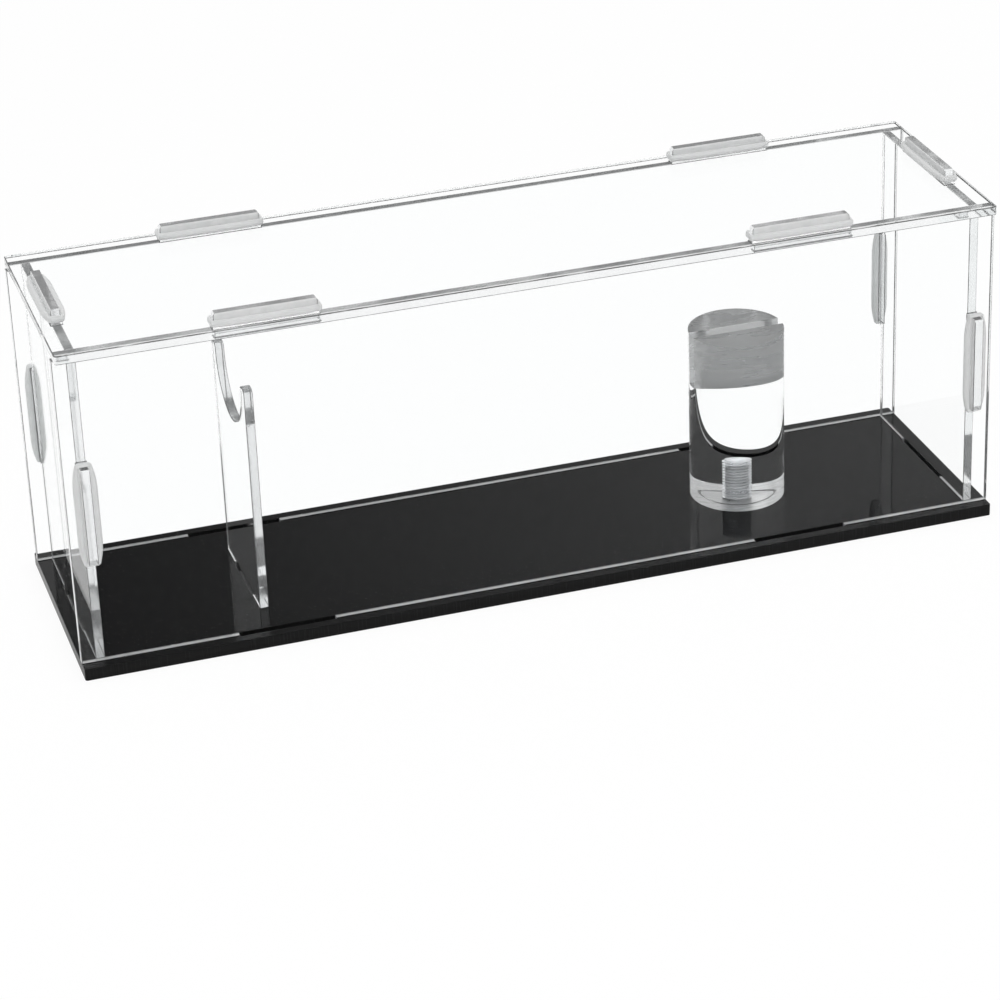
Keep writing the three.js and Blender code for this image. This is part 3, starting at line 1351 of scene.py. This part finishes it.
@dataclass(frozen=True)
class BladeRiser:
    """The round riser, slotted across its top and tapped from below."""

    finishes: Finishes
    thread: Thread
    slot_width: float = 4.4 * MM
    slot_depth: float = 18 * MM
    tap_clearance: float = 0.09 * MM
    bore_depth: float = 14 * MM
    point_height: float = 0.5 * MM
    groove_radius: float = 7.8 * MM
    groove_width: float = 0.6 * MM
    groove_depth: float = 0.2 * MM
    sides: int = 128
    rim: float = 0.25 * MM

    def build(self) -> Object:
        """Builds the riser from its underside up.

        Returns:
            The finished riser.
        """
        low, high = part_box("blade_riser")
        height = high.z - low.z
        floor = height - self.slot_depth
        foot = low.z + CONTACT_GAP
        work = Workpiece()
        bm = work.bm
        outer = self.tap(work, foot)
        rings = [
            (self.groove_radius - self.groove_width / 2, 0),
            (self.groove_radius, self.groove_depth),
            (self.groove_radius + self.groove_width / 2, 0),
            ((high.x - low.x) / 2, 0),
        ]
        for radius, depth in rings:
            inner = outer
            level = Matrix.Translation((0, 0, depth))
            made = bmesh.ops.create_circle(bm, radius=radius, segments=self.sides, matrix=level)
            outer = among(bm.edges, made["verts"])
            bmesh.ops.bridge_loops(bm, edges=outer + inner)
        walls = work.draw_on(outer, Vector((0, 0, floor)))
        bmesh.ops.contextual_create(bm, geom=walls)
        half = self.slot_width / 2
        for way in (-1, 1):
            caps = self.level_faces(work, floor)
            geom = list(dict.fromkeys(item for f in caps for item in (*f.verts, *f.edges, f)))
            work.slice(geom, (0, way * half, 0), (0, 1, 0), dist=SAME_PLACE)
        moons = [f for f in self.level_faces(work, floor) if abs(f.calc_center_median().y) > half]
        for moon in moons:
            work.raise_faces([moon], self.slot_depth)
        leftovers = [f for f in moons if f.is_valid]
        bmesh.ops.delete(bm, geom=leftovers, context="FACES_ONLY")
        work.close()
        rims = [edge for edge in work.rims() if self.is_outer(edge, height)]
        work.bevel(rims, self.rim, segments=2)
        work.paint(lambda face: self.finish_of(face, floor))
        work.place(Matrix.Translation(((low.x + high.x) / 2, 0, foot)))
        finishes = self.finishes
        slots = [finishes.clear, finishes.milled, finishes.faced, finishes.tapped]
        return work.to_object("slotted_riser", [*slots, finishes.groove])

    def tap(self, work: Workpiece, foot: float) -> list[BMEdge]:
        """Makes the tapped bore, closed by a blunt point.

        Args:
            work: The empty workpiece.
            foot: Height of the riser's underside over the ground.

        Returns:
            The edges of the bore's mouth, at z = 0.
        """
        local = replace(self.thread, phase=self.thread.phase - foot)
        mouth, end = work.thread(local, 0, self.bore_depth, self.tap_clearance)
        verts = ends_of(work.draw_on(end, Vector((0, 0, self.point_height))))
        peak = Vector((0, 0, self.bore_depth + self.point_height))
        bmesh.ops.pointmerge(work.bm, verts=verts, merge_co=peak)
        return [edge for edge in mouth if edge.is_valid]

    def level_faces(self, work: Workpiece, height: float) -> list[BMFace]:
        """The level faces at a height."""
        return [f for f in work.bm.faces if abs(f.calc_center_median().z - height) < SAME_PLACE]

    def is_outer(self, edge: BMEdge, height: float) -> bool:
        """Tells the rims of the top and the underside from those of the bore.

        Args:
            edge: An edge of the closed riser.
            height: The riser's height.

        Returns:
            Whether it belongs to the top's rim or to the underside's.
        """
        return all(abs(v.co.z - height) < SAME_PLACE for v in edge.verts) or all(
            abs(v.co.z) < SAME_PLACE and v.co.xy.length > 2 * self.thread.radius
            for v in edge.verts
        )

    def finish_of(self, face: BMFace, floor: float) -> RiserFace:
        """Chooses the finish for a face.

        Args:
            face: The face.
            floor: Height of the slot's bottom.

        Returns:
            The finish.
        """
        middle = face.calc_center_median()
        from_groove = abs(middle.xy.length - self.groove_radius)
        if middle.z < self.groove_depth and from_groove < self.groove_width / 2:
            return RiserFace.GROOVE
        if middle.z < self.rim and face.normal.z < -LEVEL:
            return RiserFace.FACED
        if middle.z < floor - SAME_PLACE:
            tapped = middle.xy.length < 1.2 * self.thread.radius
            return RiserFace.TAPPED if tapped else RiserFace.POLISHED
        in_slot = abs(middle.y) < self.slot_width / 2 + 2 * SAME_PLACE
        return RiserFace.MILLED if in_slot or face.normal.z > LEVEL else RiserFace.POLISHED


@dataclass(frozen=True)
class RiserScrew:
    """The countersunk screw that holds the riser from below."""

    finishes: Finishes
    thread: Thread
    cone_end: float = 3.3 * MM
    neck: float = 0.05 * MM
    head_radius: float = 5.5 * MM
    head_low: float = 0.5 * MM
    head_rim: float = 0.3 * MM
    socket_width: float = 4 * MM
    socket_depth: float = 2 * MM
    tip_chamfer: float = 0.8 * MM

    def build(self, x: float) -> Object:
        """Builds the head and the threaded rod.

        Args:
            x: The screw's place along X.

        Returns:
            The finished screw.
        """
        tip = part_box("riser_screw")[1].z
        work = Workpiece()
        lower, upper = work.thread(self.thread, self.cone_end + self.neck, tip, 0)
        bmesh.ops.holes_fill(work.bm, edges=upper, sides=0)
        for vert in work.bm.verts:
            limit = self.thread.radius - self.tip_chamfer + (tip - vert.co.z)
            reach = vert.co.xy.length
            if reach > limit:
                vert.co.x *= limit / reach
                vert.co.y *= limit / reach
        self.add_head(work, lower)
        work.close()
        work.place(Matrix.Translation((x, 0, 0)))
        return work.to_object("countersunk_screw", [self.finishes.zinc], sharp=35)

    def add_head(self, work: Workpiece, rod: list[BMEdge]) -> None:
        """Adds the countersunk head with its hexagon socket.

        Args:
            work: The workpiece with the thread.
            rod: The edges of the thread's lower opening.
        """
        bm = work.bm
        profile = [
            (self.thread.radius, self.cone_end),
            (self.head_radius, self.head_low + self.head_rim),
            (self.head_radius, self.head_low),
        ]
        work.turn(profile, 0)
        neck = work.circle(self.thread.radius, self.cone_end)
        bmesh.ops.bridge_loops(bm, edges=neck + rod)
        across_corners = self.socket_width / math.cos(math.pi / 6)
        hexagon = bmesh.ops.create_circle(
            bm,
            cap_ends=True,
            radius=across_corners / 2,
            segments=6,
            matrix=Matrix.Translation((0, 0, self.head_low)),
        )["verts"]
        rim = among(bm.edges, hexagon)
        floor = [f for f in bm.faces if all(v in hexagon for v in f.verts)]
        made = bmesh.ops.extrude_discrete_faces(bm, faces=floor)["faces"]
        bmesh.ops.translate(bm, vec=(0, 0, self.socket_depth), verts=made[0].verts)
        outer = work.circle(self.head_radius, self.head_low)
        bmesh.ops.bridge_loops(bm, edges=outer + [e for e in rim if e.is_valid])


@dataclass(frozen=True)
class TabRing:
    """A silicone ring stretched round a tab."""

    sizes: CaseSizes
    finishes: Finishes
    thickness: float = 2.2 * MM
    play: float = 0.1 * MM
    end_squash: float = 0.5
    end_width: float = 0.55
    taper: float = 7 * MM
    stations: int = 16
    sides: int = 20
    corner_steps: int = 8

    def build(self, name: str, place: Matrix) -> Object:
        """Builds one ring.

        Args:
            name: The piece's name.
            place: Takes the ring, lying on z = 0 with its long sides along X, to its tab.

        Returns:
            The finished ring.
        """
        work = Workpiece()
        bm = work.bm
        tube = self.thickness / 2
        bend = tube + self.play
        half = Vector((self.sizes.tab_length / 2, self.sizes.sheet / 2, 0))
        start = Matrix.Translation((half.x, half.y + bend, bend))
        upright = start @ Matrix.Rotation(QUARTER_TURN, 4, "Y")
        ring = bmesh.ops.create_circle(bm, radius=tube, segments=self.sides, matrix=upright)
        loop = among(bm.edges, ring["verts"])
        stretches = [
            (Vector((half.x, half.y, 0)), Vector((0, -2 * half.y, 0)), 1),
            (Vector((half.x, -half.y, 0)), Vector((-2 * half.x, 0, 0)), self.stations),
            (Vector((-half.x, -half.y, 0)), Vector((0, 2 * half.y, 0)), 1),
            (Vector((-half.x, half.y, 0)), Vector((2 * half.x, 0, 0)), self.stations),
        ]
        for corner, run, stations in stretches:
            spun = bmesh.ops.spin(
                bm,
                geom=loop + ends_of(loop),
                cent=corner,
                axis=(0, 0, -1),
                angle=QUARTER_TURN,
                steps=self.corner_steps,
                use_merge=False,
            )
            loop = edges_in(spun["geom_last"])
            for _ in range(stations):
                loop = work.draw_on(loop, run / stations)
        work.close()
        self.narrow(work, half)
        work.place(place)
        return work.to_object(name, [self.finishes.silicone], sharp=60)

    def narrow(self, work: Workpiece, half: Vector) -> None:
        """Thins the ring towards and round the tab's two narrow ends.

        Args:
            work: The ring.
            half: Half the tab's length and half its thickness.
        """
        for vert in work.bm.verts:
            beyond = abs(vert.co.x) - half.x
            share = min(max(1 + beyond / self.taper, 0), 1)
            width = 1 - (1 - self.end_width) * share**2
            bulge = abs(vert.co.y) - half.y
            if bulge > 0:
                vert.co.y = math.copysign(half.y + bulge * width, vert.co.y)
            if beyond > 0:
                vert.co.x = math.copysign(half.x + beyond * self.end_squash, vert.co.x)

    def build_all(self) -> None:
        """Builds the ten rings and lets each ride on its own body."""
        sizes = self.sizes
        top = sizes.top_surface + CONTACT_GAP
        middle = sizes.base_top + sizes.wall_height / 2
        outer_y = sizes.panel_y + sizes.sheet / 2 + CONTACT_GAP
        across = Matrix.Rotation(QUARTER_TURN, 4, "Z")
        for end in End:
            seat = (end.value * sizes.end_x, 0, top)
            places = {f"top_{end.name.lower()}": Matrix.Translation(seat) @ across}
            for side in Side:
                corner = f"{side.name.lower()}_{end.name.lower()}"
                seat = (end.value * sizes.tab_offset, side.value * sizes.panel_y, top)
                places[f"top_{corner}"] = Matrix.Translation(seat)
                seat = (end.value * sizes.end_x, side.value * outer_y, middle)
                lean = Matrix.Rotation(-side.value * QUARTER_TURN, 4, "X")
                places[f"side_{corner}"] = Matrix.Translation(seat) @ lean @ across
            for body, place in places.items():
                ring = self.build(f"tab_ring_{body}", place)
                mount_piece(ring, f"ring_{body}", body)


# The studio


@dataclass(frozen=True)
class Studio:
    """Pale floor, soft lamps, a white surrounding and the camera."""

    lens: float = 126.4876
    sensor_width: float = 36
    eye: Triple = (-0.290517, -0.969469, 0.529352)
    rightwards: Triple = (0.95297771, -0.30082565, -0.03657078)
    downwards: Triple = (-0.16765974, -0.42286265, -0.89054893)
    forwards: Triple = (0.25243554, 0.85480472, -0.45341503)
    floor_size: float = 14.0
    floor_depth: float = 0.02 * MM
    plain_light: float = 0.62
    lamp_aim: Triple = (0, 0, 0.05)

    def build(self) -> None:
        """Builds the whole studio."""
        bpy.context.scene.view_settings.view_transform = "Standard"
        self.camera()
        self.floor()
        self.surrounding()
        self.lamp("key_lamp", (-0.9, -1.1, 1.7), size=1.1, power=16)
        self.lamp("fill_lamp", (1.3, -0.6, 1.3), size=1.0, power=7)
        self.lamp("rim_lamp", (0.2, 1.5, 1.6), size=1.2, power=6)

    def camera(self) -> None:
        """Puts the camera where the photograph was taken from."""
        data = bpy.data.cameras.new("camera")
        data.lens = self.lens
        data.sensor_width = self.sensor_width
        made = new_object("camera", data)
        right, down, ahead = (
            Vector(v).normalized() for v in (self.rightwards, self.downwards, self.forwards)
        )
        turn = Matrix((right, -down, -ahead)).transposed().to_4x4()
        made.matrix_world = Matrix.Translation(self.eye) @ turn
        bpy.context.scene.camera = made

    def floor(self) -> None:
        """Lays a plain white floor that keeps the case's shadow."""
        bm = bmesh.new()
        bmesh.ops.create_grid(bm, x_segments=1, y_segments=1, size=self.floor_size / 2)
        bmesh.ops.translate(bm, vec=(0, 0, -self.floor_depth), verts=bm.verts)
        mesh = bpy.data.meshes.new("floor")
        bm.to_mesh(mesh)
        bm.free()
        mesh.materials.append(PaleFloor().material())
        made = new_object("floor", mesh)
        made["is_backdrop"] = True

    def surrounding(self) -> None:
        """Surrounds the case with white that lights it at a plain level."""
        world = bpy.data.worlds.new("surrounding")
        world.use_nodes = True
        nodes = Nodes(world.node_tree)
        direction = nodes.add("ShaderNodeTexCoord").outputs["Generated"]
        along = nodes.add("ShaderNodeSeparateXYZ", {0: direction}).outputs["X"]
        brightness = nodes.add(
            "ShaderNodeMapRange",
            {"Value": along, "From Min": 0.08, "From Max": 0.42, "To Min": 0.12, "To Max": 0.9},
            interpolation_type="SMOOTHSTEP",
        )
        path = nodes.add("ShaderNodeLightPath").outputs
        plain, white, mirrored = (
            nodes.add("ShaderNodeBackground", {"Color": WHITE, "Strength": strength}).outputs[0]
            for strength in (self.plain_light, 1.0, brightness.outputs[0])
        )
        seen = nodes.mix(nodes.shown(), plain, white)
        # Light mirrored once by the base and seen through two sheets, so four surfaces
        once = nodes.maths("COMPARE", path["Glossy Depth"], 1.0, 0.5)
        through = nodes.maths("COMPARE", path["Transmission Depth"], 4.0, 0.5)
        final = nodes.mix(nodes.maths("MULTIPLY", once, through), seen, mirrored)
        nodes.add("ShaderNodeOutputWorld", {"Surface": final})
        bpy.context.scene.world = world

    def lamp(self, name: str, place: Triple, size: float, power: float) -> None:
        """Hangs a soft square lamp that faces the case.

        Args:
            name: Its name.
            place: Where it hangs.
            size: Its side's length.
            power: Its power in watts.
        """
        data = bpy.data.lights.new(name, "AREA")
        data.shape = "SQUARE"
        data.size = size
        data.energy = power
        aim = (Vector(self.lamp_aim) - Vector(place)).to_track_quat("-Z", "Y")
        turn = aim.to_matrix().to_4x4()
        new_object(name, data).matrix_world = Matrix.Translation(place) @ turn


def corners(box: tuple[Vector, Vector]) -> list[list[float]]:
    """A box as plain lists of numbers."""
    return [[round(value, 6) for value in corner] for corner in box]


def main() -> None:
    """Builds the studio and every piece of the case in order."""
    logging.basicConfig(level=logging.INFO, format="%(name)s: %(message)s")
    cad_box = corners(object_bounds())
    Studio().build()
    sizes = CaseSizes.from_frame()
    finishes = Finishes()
    riser_low, riser_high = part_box("blade_riser")
    riser_x = (riser_low.x + riser_high.x) / 2
    mount_piece(BasePlate(sizes, finishes).build(riser_x), "base_plate", "base")
    for side in Side:
        node = f"{side.name.lower()}_panel"
        mount_piece(LongPanel(sizes, finishes, side).build(), node, "walls")
    for end in End:
        node = f"{end.name.lower()}_end_panel"
        mount_piece(EndPanel(sizes, finishes, end).build(), node, "walls")
    mount_piece(TopPanel(sizes, finishes).build(), "top_panel", "lid")
    mount_piece(HandleRest(sizes, finishes).build(), "handle_rest", "rest")
    thread = Thread()
    riser = BladeRiser(finishes, thread).build()
    mount_piece(riser, "blade_riser", "riser")
    screw = RiserScrew(finishes, thread).build(riser_x)
    mount_piece(screw, "riser_screw", "screw")
    TabRing(sizes, finishes).build_all()
    {"cad": cad_box, "visual": corners(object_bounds())}


if __name__ == "__main__":
    main()
